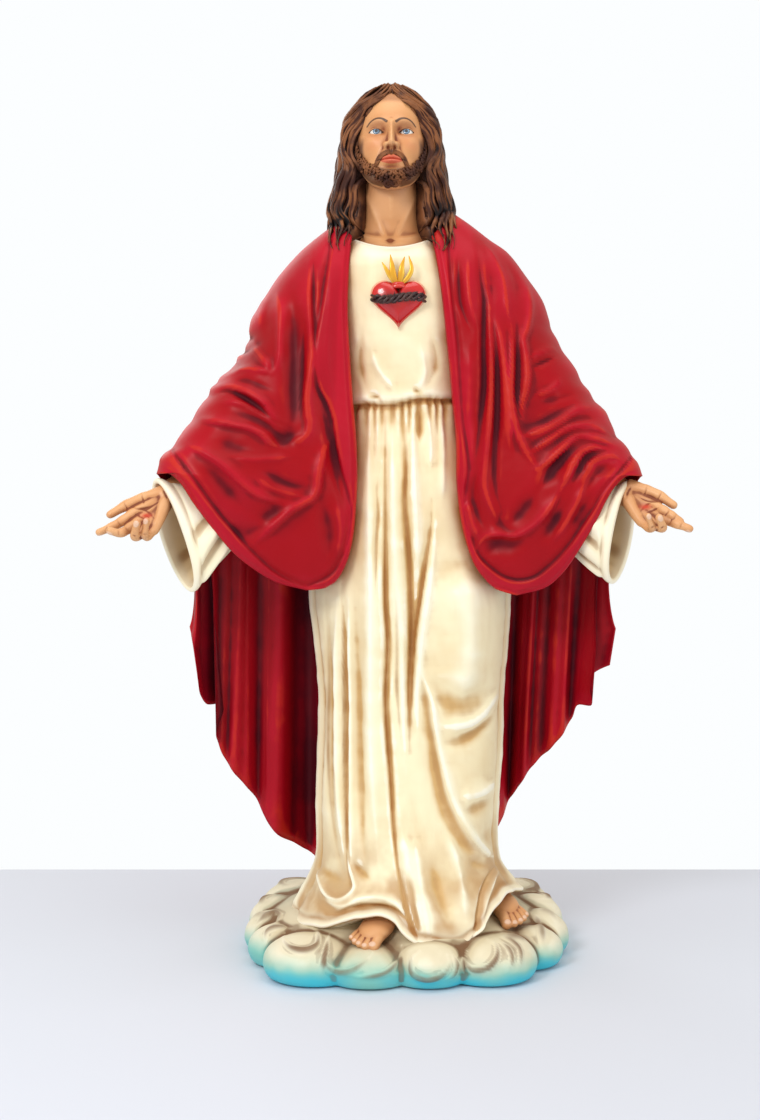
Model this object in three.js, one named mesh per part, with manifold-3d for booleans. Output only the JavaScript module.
import * as THREE from 'three';
import { mergeVertices } from 'three/addons/utils/BufferGeometryUtils.js';
import Module from 'manifold-3d';

// A painted cast statue about five and a half feet tall: a robed, cloaked figure with open hands
// and a heart on the chest, standing barefoot on a bank of cloud. It is one casting, one solid.
// Millimetres, Z up. The figure faces -Y and X runs to the viewer's right.
// The origin is on the floor under the middle of the cloud.

const wasm = await Module();
wasm.setup();

// Driving dimensions
const figureHeight = 1580;      // from the hem on the cloud to the top of the hair
const cloudWidth = 616;
const cloudDepth = 580;
const cloudHeight = 75;         // top of the cloud bank, where the hem rests
const cloakThickness = 22;
const sleeveWall = 9;
const sleeveRecess = 95;        // how far the open sleeve is hollow
const foldDepth = 1.2;          // depth of the cloak's carved folds, as a share of the drawn heights
const heartWidth = 100;
const heartHeight = 90;
const heartDome = 26;
const thornBandRadius = 6;
const fingerRadius = 8.5;
const thumbRadius = 10;
const toeRadius = 9;
const flameRadius = 6;

// The carving below is written for a figure of carvedHeight standing on a cloud of carvedCloud.
const carvedHeight = 1580;
const carvedCloud = 75;
const carve = figureHeight / carvedHeight;
const cloak = cloakThickness / carve;
const place = ([x, y, z]) => [x * carve, y * carve, cloudHeight + (z - carvedCloud) * carve];

// Small mathematics
const clamp = (value, low = 0, high = 1) => Math.min(high, Math.max(low, value));
const mix = (a, b, share) => a + (b - a) * share;
const mixPoint = (a, b, share) => a.map((value, k) => mix(value, b[k], share));
const radians = (degrees) => (degrees * Math.PI) / 180;
const range = (count) => Array.from({ length: count }, (_, k) => k);
const smoothstep = (from, to, value) => {
  const share = clamp((value - from) / (to - from));
  return share * share * (3 - 2 * share);
};
const bell = (value, middle, width) => Math.exp(-(((value - middle) / width) ** 2));
const signedPower = (value, power) => Math.sign(value) * Math.abs(value) ** power;
// Quarter of a circle: 0 at the edge, 1 once a full radius in from it
const roll = (share) => Math.sqrt(1 - (1 - clamp(share)) ** 2);

// Smooth curve through rows of [key, value, value, ...], read at one key
function read(rows, key) {
  const last = rows.length - 1;
  const at = clamp(key, rows[0][0], rows[last][0]);
  const low = Math.max(0, Math.min(last - 1, rows.findIndex((row) => row[0] >= at) - 1));
  const slope = (k, column) => {
    const before = rows[Math.max(0, k - 1)];
    const after = rows[Math.min(last, k + 1)];
    return (after[column] - before[column]) / (after[0] - before[0]);
  };
  const [from, to] = [rows[low], rows[low + 1]];
  const span = to[0] - from[0];
  const t = (at - from[0]) / span;
  return from.slice(1).map((value, k) => {
    const [m0, m1] = [slope(low, k + 1) * span, slope(low + 1, k + 1) * span];
    return value * (2 * t ** 3 - 3 * t ** 2 + 1) + m0 * (t ** 3 - 2 * t ** 2 + t)
      + to[k + 1] * (3 * t ** 2 - 2 * t ** 3) + m1 * (t ** 3 - t ** 2);
  });
}

// The points of an outline keyed by their share of its length
function course(points) {
  const steps = points.map((point, k) => (k ? Math.hypot(...point.map((v, n) => v - points[k - 1][n])) : 0));
  const total = steps.reduce((sum, step) => sum + step, 0);
  let gone = 0;
  return points.map((point, k) => {
    gone += steps[k];
    return [gone / total, ...point];
  });
}

// How far a point of the front view lies from a fold line, and how far along the line it is
function nearest(path, x, z) {
  let best = { far: Infinity, along: 0 };
  for (let k = 0; k < path.length - 1; k += 1) {
    const [ax, az] = path[k];
    const [bx, bz] = path[k + 1];
    const [dx, dz] = [bx - ax, bz - az];
    const share = clamp(((x - ax) * dx + (z - az) * dz) / (dx * dx + dz * dz));
    const far = Math.hypot(x - ax - share * dx, z - az - share * dz);
    if (far < best.far) best = { far, along: (k + share) / (path.length - 1) };
  }
  return best;
}

// Height of the carved folds at one point of the front view: a ridge is high, a valley is below 0,
// and both fade towards their ends
function folds(lines, x, z) {
  const fading = 0.22;
  return lines.reduce((sum, [high, wide, path]) => {
    const { far, along } = nearest(path, x, z);
    const fade = smoothstep(0, fading, along) * smoothstep(1, 1 - fading, along);
    return sum + high * (0.35 + 0.65 * fade) * bell(far, 0, wide);
  }, 0);
}

// Solids
function solid(points, faces) {
  const [a, b, c] = [new THREE.Vector3(), new THREE.Vector3(), new THREE.Vector3()];
  const volume = faces.reduce((sum, [p, q, r]) => sum
    + a.set(...points[p]).dot(b.set(...points[q]).cross(c.set(...points[r]))), 0);
  const outward = volume > 0 ? faces : faces.map(([p, q, r]) => [p, r, q]);
  return new wasm.Manifold(new wasm.Mesh({
    numProp: 3,
    vertProperties: new Float32Array(points.flat()),
    triVerts: new Uint32Array(outward.flat()),
  }));
}

// A closed sheet: a fine grid of points and, facing the other way, a grid with half as many rows
// and columns, joined round their rim
function sheet(fine, coarse) {
  const points = [...fine.flat(), ...coarse.flat()];
  const [rows, columns] = [fine.length, fine[0].length];
  const [coarseRows, coarseColumns] = [coarse.length, coarse[0].length];
  const f = (i, j) => i * columns + j;
  const c = (i, j) => rows * columns + i * coarseColumns + j;
  const faces = [];
  range(rows - 1).forEach((i) => range(columns - 1).forEach((j) => {
    faces.push([f(i, j), f(i, j + 1), f(i + 1, j + 1)], [f(i, j), f(i + 1, j + 1), f(i + 1, j)]);
  }));
  range(coarseRows - 1).forEach((i) => range(coarseColumns - 1).forEach((j) => {
    faces.push([c(i, j), c(i + 1, j + 1), c(i, j + 1)], [c(i, j), c(i + 1, j), c(i + 1, j + 1)]);
  }));
  // Each coarse edge of the rim faces two fine ones
  const stitch = ([f0, f1, f2], [c0, c1]) => faces.push([f1, f0, c0], [f1, c0, c1], [f2, f1, c1]);
  range(coarseColumns - 1).forEach((j) => {
    const [low, high] = [rows - 1, coarseRows - 1];
    stitch([f(0, 2 * j), f(0, 2 * j + 1), f(0, 2 * j + 2)], [c(0, j), c(0, j + 1)]);
    stitch([f(low, 2 * j + 2), f(low, 2 * j + 1), f(low, 2 * j)], [c(high, j + 1), c(high, j)]);
  });
  range(coarseRows - 1).forEach((i) => {
    const [low, high] = [columns - 1, coarseColumns - 1];
    stitch([f(2 * i + 2, 0), f(2 * i + 1, 0), f(2 * i, 0)], [c(i + 1, 0), c(i, 0)]);
    stitch([f(2 * i, low), f(2 * i + 1, low), f(2 * i + 2, low)], [c(i, high), c(i + 1, high)]);
  });
  return solid(points, faces);
}
const everySecond = (grid) => grid.filter((_, i) => i % 2 === 0).map((row) => row.filter((_, j) => j % 2 === 0));

// A closed skin through rings of points, with a fan over each end
function loft(rings) {
  const sides = rings[0].length;
  const middle = (ring) => range(3).map((k) => ring.reduce((sum, point) => sum + point[k], 0) / sides);
  const points = [...rings.flat(), middle(rings[0]), middle(rings.at(-1))];
  const [start, end] = [points.length - 2, points.length - 1];
  const last = (rings.length - 1) * sides;
  const faces = range(sides).flatMap((k) => {
    const next = (k + 1) % sides;
    const walls = range(rings.length - 1).flatMap((i) => {
      const [low, high] = [i * sides, (i + 1) * sides];
      return [[low + k, low + next, high + next], [low + k, high + next, high + k]];
    });
    return [...walls, [start, next, k], [end, last + k, last + next]];
  });
  return solid(points, faces);
}

// A round limb through points with a radius at each, its far end drawn in
function limb(points, radii, sides = 6) {
  const path = points.map((point) => new THREE.Vector3(...point));
  let side = new THREE.Vector3(0, 0, 1);
  const first = path[1].clone().sub(path[0]).normalize();
  if (Math.abs(first.z) > 0.9) side.set(1, 0, 0);
  const ring = (middle, across, up, radius) => range(sides).map((k) => {
    const turn = (2 * Math.PI * k) / sides;
    return middle.clone().addScaledVector(across, radius * Math.cos(turn))
      .addScaledVector(up, radius * Math.sin(turn)).toArray();
  });
  const rings = [];
  path.forEach((point, k) => {
    const along = path[Math.min(k + 1, path.length - 1)].clone().sub(path[Math.max(k - 1, 0)]).normalize();
    const across = side.clone().addScaledVector(along, -side.dot(along)).normalize();
    const up = along.clone().cross(across);
    side = across;
    const drawn = 0.6;
    rings.push(ring(point, across, up, radii[k]));
    if (k === path.length - 1) {
      rings.push(ring(point.clone().addScaledVector(along, radii[k] * drawn), across, up, radii[k] * drawn));
    }
  });
  return loft(rings);
}

// An ellipsoid on three half axes given as vectors
function ellipsoid(middle, [right, front, up], sides = 10, levels = 5) {
  const rings = range(levels).map((level) => {
    const tilt = radians(mix(-72, 72, level / (levels - 1)));
    return range(sides).map((k) => {
      const turn = (2 * Math.PI * k) / sides;
      return range(3).map((n) => middle[n] + Math.cos(tilt) * (Math.cos(turn) * right[n] + Math.sin(turn) * front[n])
        + Math.sin(tilt) * up[n]);
    });
  });
  return loft(rings);
}

// Robe: rings of [height, middle x, half width, middle y, half depth]
const robeRings = [
  [60, 1, 229, -32, 205], [120, 12, 207, -26, 190], [180, 6, 172, -18, 166], [290, 5, 170, -8, 142],
  [400, 10, 172, -2, 128], [505, 12, 172, 2, 124], [605, 12, 180, 2, 124], [700, 9, 186, 0, 124],
  [880, 6, 165, 0, 120], [1060, -3, 126, 0, 98], [1180, -10, 142, -6, 108], [1300, -24, 150, -6, 100],
  [1345, -27, 108, -4, 92], [1372, -27, 66, 2, 62], [1385, -27, 40, 4, 40],
];
const beltLine = (x) => 1060 + 0.09 * x;
// Height of the hem round the figure, by angle from the front: it arches over the two feet
const hemLine = [
  [-180, 78], [-130, 78], [-90, 76], [-60, 87], [-40, 85], [-28, 84], [-20, 100], [-12, 104], [-4, 88],
  [4, 70], [12, 62], [24, 58], [37, 72], [48, 94], [60, 126], [74, 132], [95, 104], [130, 82], [180, 78],
];
const robeFolds = [
  [-12, 11, [[-39, 1045], [-40, 878], [-42, 656], [-35, 430], [-20, 260], [8, 147], [36, 90]]],
  [-10, 9, [[-4, 1045], [-4, 842], [2, 693], [8, 506], [10, 423]]],
  [-7, 10, [[24, 1045], [22, 960]]],
  [-10, 12, [[48, 878], [36, 748], [17, 619], [26, 507]]],
  [-7, 8, [[-55, 953], [-57, 694]]],
  [-13, 11, [[-121, 692], [-117, 505], [-117, 317], [-114, 160]]],
  [-9, 11, [[-92, 640], [-91, 319]]],
  [-9, 12, [[-149, 692], [-150, 395]]],
  [-9, 22, [[41, 617], [34, 505], [36, 394], [46, 319]]],
  [10, 14, [[-78, 690], [-76, 505], [-68, 300], [-50, 160]]],
  [9, 12, [[-22, 1040], [-22, 800], [-14, 560], [-6, 330], [20, 160]]],
  [22, 52, [[70, 860], [96, 700], [98, 560], [86, 470]]],
  [14, 16, [[56, 470], [66, 380], [84, 305], [118, 235], [160, 180]]],
  [-8, 12, [[180, 548], [140, 500], [108, 462]]],
  [-8, 14, [[86, 300], [118, 318], [158, 330]]],
  [12, 14, [[-150, 190], [-170, 130], [-195, 96]]],
  [10, 14, [[-30, 178], [-80, 152], [-130, 134]]],
  [-10, 12, [[60, 190], [100, 150], [132, 110]]],
];

const blouseDepth = 14;       // cloth bunched over the belt
const beltPinch = 9;
const robePleat = 9;
const robePleatCount = 16;

function robePoint(turn, height) {
  const [middleX, wide, middleY, deep] = read(robeRings, height);
  const square = 0.9;
  const [sx, sy] = [signedPower(Math.sin(turn), square), signedPower(Math.cos(turn), square)];
  const x = middleX + wide * sx;
  const facing = smoothstep(-0.1, 0.4, Math.cos(turn));
  const belt = beltLine(x);
  const blouse = blouseDepth * bell(height, belt + 26, 20) - beltPinch * bell(height, belt - 4, 8);
  const pleats = robePleat * (1 - facing) * smoothstep(1040, 700, height) * Math.cos(turn * robePleatCount);
  const carved = facing * folds(robeFolds, x, height);
  const out = blouse + pleats + carved;
  return [x + out * Math.sin(turn), middleY - deep * sy - out * Math.cos(turn), height];
}

function robe() {
  // Close together in front, where the folds show, and wide apart under the cloak
  const [frontSides, backSides] = [24, 5];
  const frontHalf = radians(100);
  const turns = [
    ...range(frontSides).map((k) => mix(-frontHalf, frontHalf, k / frontSides)),
    ...range(backSides).map((k) => mix(frontHalf, 2 * Math.PI - frontHalf, k / backSides)),
  ];
  const skirt = [0, 0.35, 0.7];
  const skirtTop = 200;
  const levels = [200, 265, 335, 405, 475, 545, 615, 700, 790, 900, 1040, 1058, 1076, 1110, 1220, 1330, 1385];
  const hem = (turn) => read(hemLine, ((turn * 180) / Math.PI + 180) % 360 - 180)[0];
  // Rings under the hem, drawn in towards the middle of the figure so that the hem has an edge
  const [middleY, hemEdge] = [-30, 2];
  const under = (share, height) => turns.map((turn) => {
    const [x, y] = robePoint(turn, hem(turn));
    return place([x * share, mix(middleY, y, share), height ?? hem(turn) - hemEdge]);
  });
  return loft([
    under(0.8, 50),
    under(0.93),
    ...skirt.map((share) => turns.map((turn) => place(robePoint(turn, mix(hem(turn), skirtTop, share))))),
    ...levels.map((height) => turns.map((turn) => place(robePoint(turn, height)))),
  ]);
}

// Cloak: each front panel spans from its inner edge, beside the robe, to its outer edge, which is
// the outline of the shoulder and arm as far as the wrist and from there the free hem
const wristShare = 0.6;
const panels = {
  left: {
    inner: course([[-100, 1367], [-105, 1302], [-107, 1228], [-103, 1137], [-98, 1063], [-92, 990], [-90, 916],
      [-94, 843], [-100, 797], [-111, 759], [-129, 728], [-148, 715]]),
    arm: course([[-133, 1394], [-158, 1377], [-199, 1343], [-241, 1296], [-271, 1246], [-291, 1195], [-303, 1148],
      [-338, 1094], [-386, 1043], [-425, 987], [-455, 949], [-462, 927]]),
    hem: course([[-462, 927], [-439, 929], [-415, 912], [-390, 876], [-362, 838], [-322, 788], [-286, 756],
      [-241, 727], [-188, 711]]),
    folds: [
      [-12, 13, [[-172, 1345], [-174, 1246], [-174, 1182], [-169, 1123], [-167, 1089], [-152, 1054]]],
      [9, 14, [[-148, 1330], [-151, 1251], [-150, 1180], [-140, 1080]]],
      [10, 15, [[-226, 1290], [-237, 1242], [-235, 1182], [-237, 1140], [-244, 1114]]],
      [9, 14, [[-292, 1188], [-276, 1152], [-251, 1129], [-240, 1118]]],
      [10, 14, [[-360, 1090], [-310, 1087], [-276, 1073], [-250, 1044]]],
      [-11, 13, [[-315, 1136], [-280, 1122], [-248, 1100]]],
      [13, 13, [[-375, 1062], [-330, 1048], [-267, 1007], [-229, 973], [-190, 1001], [-169, 1064]]],
      [-15, 17, [[-245, 1030], [-223, 996], [-205, 1030]]],
      [13, 13, [[-400, 980], [-363, 962], [-307, 909], [-266, 887], [-223, 872], [-175, 883], [-163, 930], [-140, 1010]]],
      [-9, 14, [[-330, 950], [-270, 915], [-215, 905], [-185, 940]]],
      [12, 13, [[-175, 882], [-214, 859], [-260, 824], [-290, 800]]],
      [-12, 13, [[-335, 862], [-290, 842], [-240, 852]]],
      [-9, 12, [[-176, 1030], [-134, 998], [-120, 933], [-102, 887]]],
      [10, 15, [[-136, 874], [-141, 835], [-130, 790]]],
      [-7, 9, [[-402, 939], [-345, 863], [-296, 804], [-260, 765], [-231, 739], [-194, 727]]],
    ],
  },
  right: {
    inner: course([[48, 1367], [57, 1317], [66, 1256], [73, 1192], [81, 1118], [86, 1063], [92, 1008], [94, 962],
      [94, 916], [99, 861], [110, 807], [128, 757], [151, 726], [166, 713]]),
    arm: course([[94, 1413], [122, 1394], [160, 1365], [194, 1341], [230, 1295], [260, 1252], [288, 1199],
      [306, 1158], [348, 1097], [377, 1054], [396, 1004], [418, 974], [435, 941], [438, 923]]),
    hem: course([[438, 923], [407, 924], [385, 908], [367, 882], [348, 842], [321, 794], [291, 747], [260, 718],
      [208, 701]]),
    folds: [
      [-9, 12, [[97, 1300], [100, 1240], [117, 1193]]],
      [-14, 13, [[135, 1372], [140, 1271], [155, 1211], [165, 1149], [165, 1089], [159, 1028], [153, 925]]],
      [12, 14, [[148, 1360], [176, 1300], [187, 1240], [189, 1181], [190, 1089], [196, 1028], [216, 973], [240, 930]]],
      [11, 14, [[200, 1325], [216, 1290], [231, 1240], [226, 1180], [224, 1120], [216, 1066], [211, 1034]]],
      [-10, 12, [[206, 1230], [198, 1160], [200, 1080], [203, 1014]]],
      [8, 11, [[224, 1128], [251, 1150], [290, 1168]]],
      [-8, 10, [[226, 1105], [262, 1122], [306, 1130]]],
      [9, 12, [[238, 1069], [293, 1096], [340, 1094]]],
      [10, 13, [[215, 996], [257, 1016], [302, 1032], [370, 1050]]],
      [11, 14, [[398, 1000], [350, 1002], [313, 989], [270, 962]]],
      [-13, 13, [[318, 1002], [296, 970], [272, 912]]],
      [-12, 13, [[200, 1020], [221, 964], [241, 938], [262, 962], [290, 985]]],
      [13, 14, [[140, 925], [155, 874], [181, 837], [207, 824], [238, 869], [269, 900], [330, 930]]],
      [-14, 15, [[178, 872], [196, 848], [216, 866]]],
      [-9, 12, [[300, 880], [326, 922], [348, 955]]],
      [9, 12, [[330, 920], [356, 934], [392, 940]]],
      [11, 16, [[142, 766], [174, 805], [230, 814]]],
      [-8, 11, [[108, 989], [127, 939], [110, 887]]],
      [-7, 9, [[112, 812], [142, 756], [174, 724], [212, 714], [262, 733], [310, 790], [352, 862], [384, 918]]],
    ],
  },
};
const innerDepth = [[0, -82], [0.12, -110], [0.3, -128], [0.5, -130], [0.7, -132], [0.85, -130], [1, -124]];
const outerDepth = [[0, -34], [0.15, -80], [0.3, -100], [0.45, -128], [0.55, -166], [0.62, -190], [0.8, -174],
  [0.92, -150], [1, -128]];
const rounding = [[0, 26], [0.12, 66], [0.25, 88], [0.4, 86], [0.52, 72], [0.6, 60], [0.635, 16], [1, 12]];
const belly = [[0, 4], [0.15, 16], [0.5, 18], [0.8, 12], [1, 4]];
const recessRoof = 905;       // the cloak is open behind the front panels up to this height
const roofHalf = 25;
const seam = 4;               // overlap of the front panels and the back along the arms
const lapelRoll = 12;
const lapelDepth = 46;        // how much thicker a panel is along its inner edge, against the robe
const lapelWidth = 60;
const foldMargin = 26;        // folds fade out this near the outer edge

const outerEdge = (panel, t) => (t <= wristShare
  ? read(panel.arm, t / wristShare)
  : read(panel.hem, (t - wristShare) / (1 - wristShare)));
const edgeDepth = (t) => read(outerDepth, t)[0] + read(rounding, t)[0];

// Depth of the cloak down the back, away from its edges
const spine = [[140, 178], [200, 178], [400, 170], [600, 156], [800, 140], [1000, 124], [1200, 120], [1300, 102],
  [1360, 78], [1420, 50]];
const backDepth = (x, z) => read(spine, z)[0] - mix(190, 112, smoothstep(850, 1280, z)) * Math.abs(x / 400) ** 1.6;
const backCurl = 88;

function panelPoint(panel, t, s) {
  const inner = read(panel.inner, t);
  const outer = outerEdge(panel, t);
  const [x, z] = mixPoint(inner, outer, s);
  const reach = Math.hypot(outer[0] - inner[0], outer[1] - inner[1]);
  const round = read(rounding, t)[0];
  const plane = mix(read(innerDepth, t)[0], read(outerDepth, t)[0], s) - read(belly, t)[0] * Math.sin(Math.PI * s);
  const fromOuter = (1 - s) * reach;
  const fromInner = s * reach;
  const turned = round * (1 - roll(fromOuter / round)) + lapelRoll * (1 - roll(fromInner / lapelRoll));
  const carved = foldDepth * folds(panel.folds, x, z) * smoothstep(0, foldMargin, fromOuter)
    * smoothstep(-lapelRoll / 2, lapelRoll, fromInner);
  return {
    point: [x, plane + turned - carved, z],
    fromOuter,
    fromInner,
    edge: plane + round,
    hem: smoothstep(wristShare - 0.02, wristShare + 0.03, t),   // 1 along the free hem, 0 along the arm
  };
}

function frontPanel(panel) {
  const armRows = 13;
  const hemRows = 9;
  const columns = 13;
  const shares = [
    ...range(armRows).map((k) => (wristShare * k) / armRows),
    ...range(hemRows + 1).map((k) => wristShare + ((1 - wristShare) * k) / hemRows),
  ];
  const across = range(columns).map((k) => {
    const even = k / (columns - 1);
    return mix(even, (1 - Math.cos(Math.PI * even)) / 2, 0.55);
  });
  const samples = shares.map((t) => across.map((s) => panelPoint(panel, t, s)));
  const front = samples.map((row) => row.map(({ point }) => place(point)));
  const back = everySecond(samples).map((row) => row.map(({ point: [x, y, z], fromOuter, fromInner, edge, hem }) => {
    const wall = mix(seam, cloak, Math.max(hem, roll(fromOuter / (2 * cloak))));
    const thin = y + wall + lapelDepth * (1 - smoothstep(0, lapelWidth, fromInner));
    const full = mix(edge, backDepth(x, z) - cloak / 2, roll(fromOuter / backCurl));
    const deep = Math.max(thin, full);
    return place([x, mix(thin, deep, smoothstep(recessRoof - roofHalf, recessRoof + roofHalf, z)), z]);
  }));
  return sheet(front, back);
}

// The cloak's back hangs from the outline of the arms and neck down to a stepped hem
const napeLine = course([[-133, 1394], [-80, 1412], [-27, 1420], [34, 1422], [94, 1413]]);
const backHem = course([[-398, 561], [-383, 482], [-351, 473], [-364, 421], [-350, 370], [-301, 297], [-268, 231],
  [-227, 189], [-172, 151], [-80, 138], [30, 140], [120, 165], [186, 222], [214, 276], [242, 327], [281, 377],
  [326, 443], [336, 474], [358, 480], [355, 528], [393, 557]]);
const armSpan = 0.4;          // share of the back's top edge that runs along each arm
const pleatCount = 11;
const pleatDepth = 18;
const backPlane = 40;         // behind the body the cloak is filled forward to this depth
const bodyMiddle = 8;
const [bodyNear, bodyFar] = [140, 205];   // the fill ends between these distances from the body's middle

function backTop(c) {
  if (c < armSpan) {
    const t = wristShare * (1 - c / armSpan);
    const [x, z] = outerEdge(panels.left, t);
    return [x, edgeDepth(t), z];
  }
  if (c > 1 - armSpan) {
    const t = (wristShare * (c - 1 + armSpan)) / armSpan;
    const [x, z] = outerEdge(panels.right, t);
    return [x, edgeDepth(t), z];
  }
  const [x, z] = read(napeLine, (c - armSpan) / (1 - 2 * armSpan));
  return [x, edgeDepth(0), z];
}

function backPoint(c, r) {
  const [topX, topY, topZ] = backTop(c);
  const [hemX, hemZ] = read(backHem, c);
  const [x, z] = [mix(topX, hemX, r), mix(topZ, hemZ, r)];
  const down = r * Math.hypot(topX - hemX, topZ - hemZ);
  const wave = Math.cos(2 * Math.PI * (pleatCount * c + 0.25 * Math.sin(9 * c)));
  const pleat = pleatDepth * r ** 1.2 * smoothstep(30, 200, down) * wave;
  const y = mix(topY + seam / 2, backDepth(x, z), roll(down / backCurl)) + pleat;
  return { point: [x, y, z], wall: mix(seam, cloak, roll(down / (2 * cloak))) };
}

function cloakBack() {
  const columns = 32;
  const rows = 9;
  const grid = range(rows).map((i) => range(columns + 1).map((j) => {
    const r = (i / (rows - 1)) ** 1.25;
    return backPoint(j / columns, r);
  }));
  const rear = grid.map((row) => row.map(({ point }) => place(point)));
  const front = everySecond(grid).map((row) => row.map(({ point: [x, y, z], wall }) => {
    const against = smoothstep(bodyFar, bodyNear, Math.abs(x - bodyMiddle));
    return place([x, mix(y - wall, Math.min(y - wall, backPlane), against), z]);
  }));
  return sheet(rear, front);
}

// Sleeves: an open bell from inside the cloak to a tall narrow mouth, hollow behind its rim
const sleeves = {
  left: {
    root: { middle: [-300, -95, 880], tall: [-6, 0, 62], wide: [18, -52, 0] },
    mouth: { middle: [-427, -137, 813], tall: [-30, -3, 104], wide: [30, -44, -3] },
    bow: [-8, 0, -26],
  },
  right: {
    root: { middle: [280, -95, 888], tall: [8, 0, 62], wide: [-18, -52, 0] },
    mouth: { middle: [396, -137, 818], tall: [14, -3, 94], wide: [-26, -44, 0] },
    bow: [8, 0, -30],
  },
};

function sleeve({ root, mouth, bow }) {
  const sides = 12;
  const wall = sleeveWall / carve;
  const length = Math.hypot(...mouth.middle.map((v, k) => v - root.middle[k]));
  const ring = (share, inset) => {
    const middle = mixPoint(root.middle, mouth.middle, share).map((v, k) => v + bow[k] * Math.sin(Math.PI * share) * 0.5);
    const tall = mixPoint(root.tall, mouth.tall, share ** 1.4);
    const wide = mixPoint(root.wide, mouth.wide, share);
    const [tallIn, wideIn] = [tall, wide].map((axis) => 1 - inset / Math.hypot(...axis));
    return range(sides).map((k) => {
      const turn = (2 * Math.PI * k) / sides;
      return place(middle.map((v, n) => v + tall[n] * tallIn * Math.cos(turn) + wide[n] * wideIn * Math.sin(turn)));
    });
  };
  const recess = 1 - sleeveRecess / carve / length;
  return loft([
    ...[0, 0.35, 0.7, 1].map((share) => ring(share, 0)),
    ...[1, recess].map((share) => ring(share, wall)),
  ]);
}

// Hands: wrist, palm and five digits, each digit a row of joints from the knuckle to the tip
const hands = {
  left: {
    wrist: [[-366, -78, 930], [-424, -122, 900], [-441, -140, 886]],
    palm: { middle: [-468, -160, 858], long: [-34, -34, -24], broad: [27, -8, -27], thick: [5, -10, 8] },
    thumb: [[-452, -140, 889], [-482, -154, 883], [-512, -168, 871], [-540, -180, 855]],
    fingers: [
      [[-500, -178, 856], [-521, -196, 841], [-540, -208, 831], [-556, -214, 825]],
      [[-490, -184, 842], [-504, -206, 830], [-518, -222, 824], [-534, -230, 829]],
      [[-476, -186, 831], [-488, -208, 817], [-490, -226, 820], [-484, -233, 843]],
      [[-460, -184, 827], [-470, -204, 816], [-472, -221, 822], [-468, -228, 847]],
    ],
  },
  right: {
    wrist: [[334, -78, 934], [388, -122, 902], [404, -140, 890]],
    palm: { middle: [428, -160, 873], long: [34, -34, -20], broad: [-27, -8, -27], thick: [-5, -10, 8] },
    thumb: [[416, -140, 902], [438, -154, 898], [462, -168, 889], [487, -180, 872]],
    fingers: [
      [[456, -178, 870], [472, -196, 860], [484, -208, 852], [511, -216, 834]],
      [[457, -184, 856], [477, -204, 844], [494, -217, 838], [510, -224, 832]],
      [[444, -186, 845], [458, -208, 833], [461, -226, 835], [453, -233, 853]],
      [[428, -184, 842], [441, -204, 831], [443, -220, 835], [434, -228, 855]],
    ],
  },
};

function hand({ wrist, palm, thumb, fingers }) {
  const [finger, thick] = [fingerRadius, thumbRadius];
  const digit = (joints, radius) => limb(joints.map(place), [1.1, 1.05, 0.95, 0.75].map((k) => k * radius), 5);
  const axes = [palm.long, palm.broad, palm.thick].map((axis) => axis.map((v) => v * carve));
  return [
    limb(wrist.map(place), [30, 24, 25].map((radius) => radius * carve), 8),
    ellipsoid(place(palm.middle), axes),
    digit(thumb, thick),
    ...fingers.map((joints) => digit(joints, finger)),
  ];
}

// Head: rings of [height, middle forward, half depth, half width] on an axis that leans back
const headMiddle = [-27, -2, 1540];
const headLean = radians(14);
const headRings = [
  [-100, 56, 16, 18], [-93, 52, 30, 34], [-84, 44, 41, 43], [-72, 34, 50, 50], [-60, 24, 60, 56], [-50, 19, 64, 59],
  [-36, 14, 70, 62], [-20, 10, 74, 65], [-4, 6, 77, 67], [12, 2, 82, 68], [30, -1, 84, 68], [55, -4, 82, 66],
  [78, -6, 70, 58], [94, -7, 48, 42], [103, -8, 20, 18],
];
const neckRadii = [56, 48, 46];
// Nose, brow, lips, eyes, moustache and forked beard as heights in front of the face: [height, across, rise, tall, wide]
const features = [
  [-30, 0, 22, 9, 10], [-14, 0, 14, 14, 8], [16, 0, 5, 8, 40], [-60, 0, 5, 5, 16], [-86, 0, 7, 10, 16],
  [0, 26, -7, 9, 13], [0, -26, -7, 9, 13], [-47, 15, 4, 6, 12], [-47, -15, 4, 6, 12],
  [-96, 13, 15, 13, 11], [-96, -13, 15, 13, 11], [-78, 40, 8, 20, 14], [-78, -40, 8, 20, 14],
];

function headPoint(across, forward, height) {
  const [x, y, z] = headMiddle;
  return [
    x + across,
    y - forward * Math.cos(headLean) + height * Math.sin(headLean),
    z + forward * Math.sin(headLean) + height * Math.cos(headLean),
  ];
}

function head() {
  const sides = 16;
  const levels = [-100, -93, -82, -68, -58, -46, -32, -20, -4, 12, 45, 78, 103];
  const rings = levels.map((height) => {
    const [middle, deep, wide] = read(headRings, height);
    return range(sides).map((k) => {
      const turn = (2 * Math.PI * k) / sides;
      const across = wide * Math.sin(turn);
      const facing = smoothstep(0.2, 0.7, Math.cos(turn));
      const rise = features.reduce((sum, [h, a, high, tall, broad]) => sum
        + high * bell(height, h, tall) * bell(across, a, broad), 0);
      return place(headPoint(across, middle + deep * Math.cos(turn) + facing * rise, height));
    });
  });
  const neck = limb([[-27, 4, 1340], [-27, 0, 1400], [-27, -6, 1470]].map(place),
    neckRadii.map((radius) => radius * carve), 10);
  return [loft(rings), neck];
}

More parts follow.
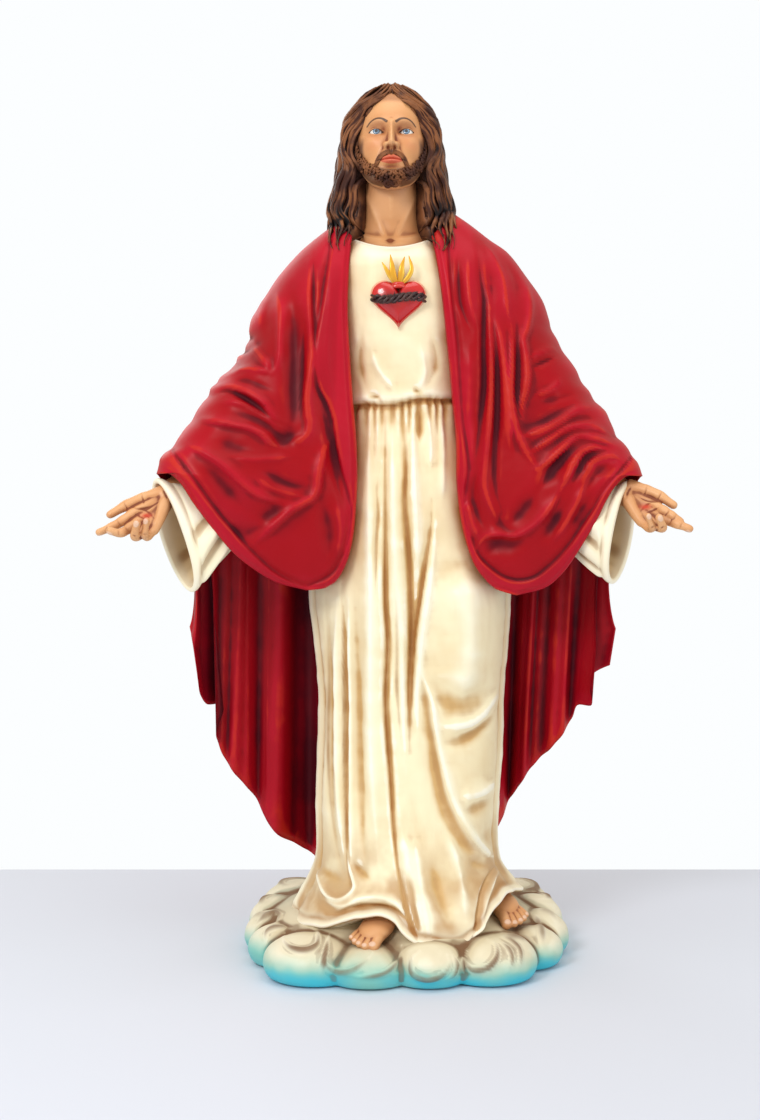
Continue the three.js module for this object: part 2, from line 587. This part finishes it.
// Hair: a parted cap and a wavy curtain to the shoulders, open in front by an angle that changes
// with height: rows of [height, half width, depth behind, half opening in degrees]
const hairRings = [
  [1328, 92, 60, 46], [1350, 114, 78, 43], [1386, 124, 92, 46], [1425, 119, 98, 54], [1468, 109, 100, 62],
  [1510, 102, 104, 64], [1546, 96, 108, 62], [1583, 86, 104, 50], [1612, 70, 92, 26], [1636, 48, 66, 6],
  [1649, 27, 40, 0], [1655, 10, 16, 0],
];
const lockWave = 8;
const lockCount = 7;
const lockRadii = [5, 11, 10, 9, 4];
const [hairX, hairY] = [-27, 6];             // the hair's upright axis
const [browDepth, temple, brow] = [70, 1500, 1600];   // its depth in front, from the temples up to the brow
const [wavesEnd, crownEnd] = [1570, 1650];

function hairPoint(turn, height, proud = 0) {
  const inside = 34;
  const [sine, cosine] = [Math.sin(radians(turn)), Math.cos(radians(turn))];
  const [wide, behind, opening] = read(hairRings, height);
  const deep = cosine < 0 ? behind : Math.min(wide, mix(browDepth, wide, smoothstep(brow, temple, height)));
  const full = 1 / Math.hypot(sine / wide, cosine / deep);
  const open = opening > 1 ? smoothstep(opening - 12, opening + 3, Math.abs(turn)) : 1;
  const sway = 1.1 * Math.sin(height / 26);
  const wave = lockWave * Math.sin(radians(turn * lockCount) + sway) * smoothstep(crownEnd, wavesEnd, height);
  const parting = 5 * bell(turn, 0, 14) * smoothstep(brow, crownEnd, height);
  const radius = mix(inside, full + wave - parting, open) + proud;
  return [hairX + radius * sine, hairY - radius * cosine, height];
}

function hair() {
  const sides = 22;
  const levels = [1330, 1352, 1384, 1418, 1454, 1494, 1538, 1580, 1612, 1638, 1655];
  const cap = loft(levels.map((height) => range(sides).map((k) => {
    const turn = ((360 * k) / sides + 180) % 360 - 180;
    return place(hairPoint(turn, height));
  })));
  // Locks beside the face, from the temples to the shoulders, each swaying as it falls
  const locks = [-1, 1].flatMap((side) => range(2).map((k) => {
    const path = lockRadii.map((_, level) => {
      const height = mix(1600 - 12 * k, 1344 + 12 * k, level / (lockRadii.length - 1));
      const opening = read(hairRings, height)[2];
      const turn = side * (opening + 8 + 30 * k + 5 * Math.sin(level * 1.9 + 2 * k));
      return place(hairPoint(turn, height, 2));
    });
    return limb(path, lockRadii.map((radius) => radius * carve), 4);
  }));
  return [cap, ...locks];
}

// Heart on the chest with its band of thorns and its flames
const heartMiddle = [-14, -108, 1237];
const flameTips = [[-43, 1316], [-28, 1329], [-2, 1325], [17, 1327]];

function heart() {
  const sides = 16;
  const [x, y, z] = place(heartMiddle);
  const outline = range(sides).map((k) => {
    const turn = (2 * Math.PI * k) / sides;
    const up = 13 * Math.cos(turn) - 5 * Math.cos(2 * turn) - 2 * Math.cos(3 * turn) - Math.cos(4 * turn);
    return [(heartWidth / 32) * 16 * Math.sin(turn) ** 3, (heartHeight / 29) * (up + 2.5)];
  });
  const ring = (share, forward) => outline.map(([across, up]) => [x + across * share, y - forward, z + up * share]);
  const body = loft([
    ring(0.9, -12), ring(1, 0.25 * heartDome), ring(0.86, 0.75 * heartDome), ring(0.5, heartDome),
  ]);
  const band = limb(range(7).map((k) => {
    const share = k / 6 - 0.5;
    return [x + share * heartWidth, y - heartDome * roll(1 - Math.abs(share) * 1.9) - 1, z + 13 + 3 * Math.cos(k * 2)];
  }), range(7).map(() => thornBandRadius), 5);
  const foot = [x, y - 8, z + heartHeight * 0.38];
  const flames = flameTips.map(([tipX, tipZ]) => {
    const tip = place([tipX, -112, tipZ]);
    const middle = mixPoint(foot, tip, 0.5);
    return limb([foot, [middle[0] + 0.25 * (tip[0] - foot[0]), middle[1] - 4, middle[2]], tip],
      [flameRadius, flameRadius, flameRadius * 0.3], 4);
  });
  return [body, band, ...flames];
}

// Feet, each on an axis from the instep to the toes and spread towards the big toe
const feet = [
  { instep: [-44, -168, 98], toes: [-72, -220, 76], spread: [26, -12, -4], rise: 20 },
  { instep: [188, -78, 108], toes: [206, -124, 88], spread: [-22, -14, -4], rise: 20 },
];
const toeCount = 5;

function foot({ instep, toes, spread, rise }) {
  const along = toes.map((v, k) => (v - instep[k]) * 0.75);
  const middle = mixPoint(instep, toes, 0.5);
  const axes = [along, spread, [0, 0, rise]].map((axis) => axis.map((v) => v * carve));
  const digits = range(toeCount).map((k) => {
    const share = 1 - (2 * k) / (toeCount - 1);
    const root = mixPoint(instep, toes, 0.75).map((v, n) => v + spread[n] * share * 0.85);
    const tip = toes.map((v, n) => v + spread[n] * share + (toes[n] - instep[n]) * (0.22 - 0.12 * Math.abs(share)));
    const radius = toeRadius * mix(0.72, 1.15, (1 + share) / 2);
    return limb([root, tip].map(place), [radius, radius], 5);
  });
  return [ellipsoid(place(middle), axes), ...digits];
}

// Cloud: lobes round a low mound, flat underneath. Each lobe is [x, y, radius, top] as shares of
// half the cloud's width, half its depth, half its width and its height
const lobes = [
  [-0.69, -0.66, 0.3, 1.04], [-0.26, -0.73, 0.31, 1], [0.17, -0.75, 0.25, 1.02], [0.52, -0.66, 0.29, 1.04],
  [0.76, -0.4, 0.21, 0.95], [0.83, -0.12, 0.2, 1.08], [0.82, 0.18, 0.2, 1.2], [0.72, 0.45, 0.25, 1.3],
  [0.42, 0.68, 0.28, 1.4], [0.05, 0.74, 0.28, 1.35], [-0.34, 0.7, 0.28, 1.4], [-0.68, 0.5, 0.26, 1.25],
  [-0.8, 0.2, 0.2, 1.12], [-0.81, -0.08, 0.2, 1.02], [-0.81, -0.34, 0.2, 0.95],
];
const lobeWaist = 0.42;     // height of a lobe's widest level, as a share of its own
const moundShare = 0.84;

// Top of the cloud over a point of the ground, and how far the bank reaches in one direction
function cloudTop(x, y) {
  const [halfWidth, halfDepth] = [cloudWidth / 2, cloudDepth / 2];
  const mound = 1.15 * Math.sqrt(Math.max(0, 1 - (x / halfWidth / moundShare) ** 2 - (y / halfDepth / moundShare) ** 2));
  const tops = lobes.map(([lobeX, lobeY, radius, top]) => {
    const away = Math.hypot(x - lobeX * halfWidth, y - lobeY * halfDepth) / (radius * halfWidth);
    return away < 1 ? top * (lobeWaist + (1 - lobeWaist) * Math.sqrt(1 - away ** 2)) : 0;
  });
  return cloudHeight * Math.max(lobeWaist, mound, ...tops);
}

function cloudReach(turn) {
  const [dx, dy] = [Math.sin(turn), -Math.cos(turn)];
  return Math.max(...lobes.map(([lobeX, lobeY, radius]) => {
    const [x, y, size] = [(lobeX * cloudWidth) / 2, (lobeY * cloudDepth) / 2, (radius * cloudWidth) / 2];
    const along = x * dx + y * dy;
    const chord = size ** 2 - (x ** 2 + y ** 2 - along ** 2);
    return chord > 0 ? along + Math.sqrt(chord) : 0;
  }));
}

function cloud() {
  const sides = 46;
  const turns = range(sides).map((k) => (2 * Math.PI * k) / sides);
  const ring = (share, height) => turns.map((turn) => {
    const reach = share * cloudReach(turn);
    const [x, y] = [reach * Math.sin(turn), -reach * Math.cos(turn)];
    return [x, y, height ?? cloudTop(x, y)];
  });
  const foot = 0.94;
  return loft([
    ring(foot, 0), ring(0.985, 0.14 * cloudHeight), ring(1, lobeWaist * cloudHeight),
    ...[0.95, 0.87, 0.76, 0.6, 0.3].map((share) => ring(share)),
  ]);
}

// Everything is cast together; hollows sealed inside the casting are filled
function statue() {
  const figure = [
    robe(), cloakBack(),
    ...Object.values(panels).map(frontPanel),
    ...Object.values(sleeves).map(sleeve),
    ...Object.values(hands).flatMap(hand),
    ...head(), ...hair(), ...heart(), ...feet.flatMap(foot),
  ];
  const cast = figure.reduce((sum, piece) => sum.add(piece), cloud());
  const outside = cast.decompose().filter((piece) => piece.volume() > 0);
  return outside.reduce((sum, piece) => (piece.volume() > sum.volume() ? piece : sum));
}

function geometryOf(body) {
  const { vertProperties, triVerts } = body.getMesh();
  const geometry = new THREE.BufferGeometry();
  geometry.setAttribute('position', new THREE.BufferAttribute(vertProperties, 3));
  geometry.setIndex(new THREE.BufferAttribute(triVerts, 1));
  return mergeVertices(geometry, 1e-3);
}

const paint = new THREE.MeshStandardMaterial({ color: 0xb2202a, roughness: 0.45, metalness: 0 });
const casting = new THREE.Mesh(geometryOf(statue()), paint);
casting.name = 'sacred_heart_statue';

const group = new THREE.Group();
group.add(casting);
export default group;
